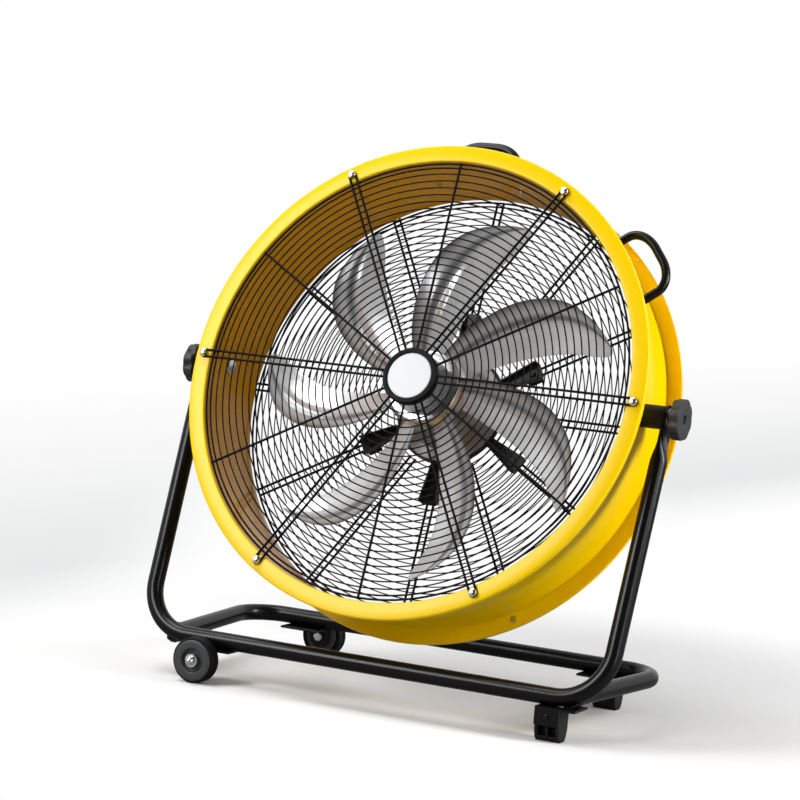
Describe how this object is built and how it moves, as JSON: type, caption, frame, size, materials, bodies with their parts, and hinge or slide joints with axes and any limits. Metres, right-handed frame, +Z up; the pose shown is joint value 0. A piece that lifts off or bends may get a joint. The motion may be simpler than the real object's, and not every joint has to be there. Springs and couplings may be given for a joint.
{
  "type": "drum fan",
  "caption": "Portable floor fan: a round sheet-metal drum with wire guards and a swept-blade rotor, tilting in a bent-tube stand with wheels at one end.",
  "frame": {"origin": "on the floor, at the centre of the bounding box", "axes": "+Z up, -Y the way the fan blows, +X to the right of someone facing the fan, along the tilt axis"},
  "size_m": [0.7358, 0.3676, 0.7521],
  "materials": {
    "tube_black": "gloss black powder coat",
    "drum_yellow": "gloss yellow powder coat on sheet steel",
    "wire_black": "black coated steel wire",
    "moulded_black": "moulded black plastic",
    "cap_pale": "plain pale disc",
    "foot_rubber": "moulded black rubber",
    "tyre_rubber": "black rubber",
    "rim_grey": "moulded grey plastic",
    "blade_silver": "pressed aluminium sheet",
    "motor_silver": "cast and machined aluminium",
    "fastener_steel": "zinc plated steel"
  },
  "bodies": {
    "stand": {"stand_front_tube": "tube_black", "stand_rear_tube": "tube_black", "wheel_bracket_front": "tube_black", "wheel_bracket_rear": "tube_black", "foot_bracket_front": "tube_black", "foot_bracket_rear": "tube_black", "rubber_foot_front": "foot_rubber", "rubber_foot_rear": "foot_rubber", "wheel_axle_bolts": "fastener_steel", "axle_cap_nuts": "fastener_steel", "axle_washers": "fastener_steel", "foot_screws": "fastener_steel"},
    "wheel_front": {"wheel_rim_front": "rim_grey", "wheel_tyre_front": "tyre_rubber"},
    "wheel_rear": {"wheel_rim_rear": "rim_grey", "wheel_tyre_rear": "tyre_rubber"},
    "knob_right": {"tilt_knob_right": "moulded_black"},
    "knob_left": {"tilt_knob_left": "moulded_black"},
    "dial": {"speed_dial": "moulded_black"},
    "rotor": {"fan_blade_1": "blade_silver", "fan_blade_2": "blade_silver", "fan_blade_3": "blade_silver", "fan_blade_4": "blade_silver", "fan_blade_5": "blade_silver", "fan_blade_6": "blade_silver", "fan_blade_7": "blade_silver", "rotor_hub": "blade_silver", "hub_nut": "fastener_steel", "motor_shaft": "fastener_steel", "rotor_core": "fastener_steel"},
    "drum": {"cable_gland": "moulded_black", "carry_handle_side": "tube_black", "carry_handle_top": "tube_black", "drum_shell": "drum_yellow", "front_guard": "wire_black", "guard_bolts": "fastener_steel", "guard_hub_cap": "cap_pale", "guard_hub_ring": "moulded_black", "handle_screws": "fastener_steel", "motor_bearings": "fastener_steel", "motor_body": "motor_silver", "motor_front_bell": "motor_silver", "motor_mount_spider": "tube_black", "motor_rear_bell": "motor_silver", "motor_screws": "fastener_steel", "pivot_bolts": "fastener_steel", "pivot_spacers": "moulded_black", "pivot_washers": "fastener_steel", "rear_guard": "wire_black", "rod_clamps": "fastener_steel", "rotary_switch": "moulded_black", "run_capacitor": "moulded_black", "stator_core": "fastener_steel", "switch_box": "moulded_black", "switch_box_lid": "moulded_black"}
  },
  "joints": [
    {"name": "drum_tilt", "type": "hinge", "parent": "stand", "child": "drum", "pos_m": [0, -0.01173, 0.415], "axis": [-1, 0, 0], "range_deg": [-110, 70]},
    {"name": "rotor_spin", "type": "hinge", "parent": "drum", "child": "rotor", "pos_m": [0, -0.01173, 0.415], "axis": [0, -0.9397, 0.342], "continuous": true},
    {"name": "front_wheel_spin", "type": "hinge", "parent": "stand", "child": "wheel_front", "pos_m": [-0.24, -0.16303, 0.031], "axis": [0, 1, 0], "continuous": true},
    {"name": "rear_wheel_spin", "type": "hinge", "parent": "stand", "child": "wheel_rear", "pos_m": [-0.214, 0.15557, 0.031], "axis": [0, 1, 0], "continuous": true},
    {"name": "right_knob_turn", "type": "hinge", "parent": "drum", "child": "knob_right", "pos_m": [0.358, -0.01173, 0.415], "axis": [1, 0, 0], "range_deg": [0, 360]},
    {"name": "left_knob_turn", "type": "hinge", "parent": "drum", "child": "knob_left", "pos_m": [-0.358, -0.01173, 0.415], "axis": [-1, 0, 0], "range_deg": [0, 360]},
    {"name": "dial_turn", "type": "hinge", "parent": "drum", "child": "dial", "pos_m": [0.0168, 0.12922, 0.3637], "axis": [0, 0.9397, -0.342], "range_deg": [0, 135]}
  ]
}
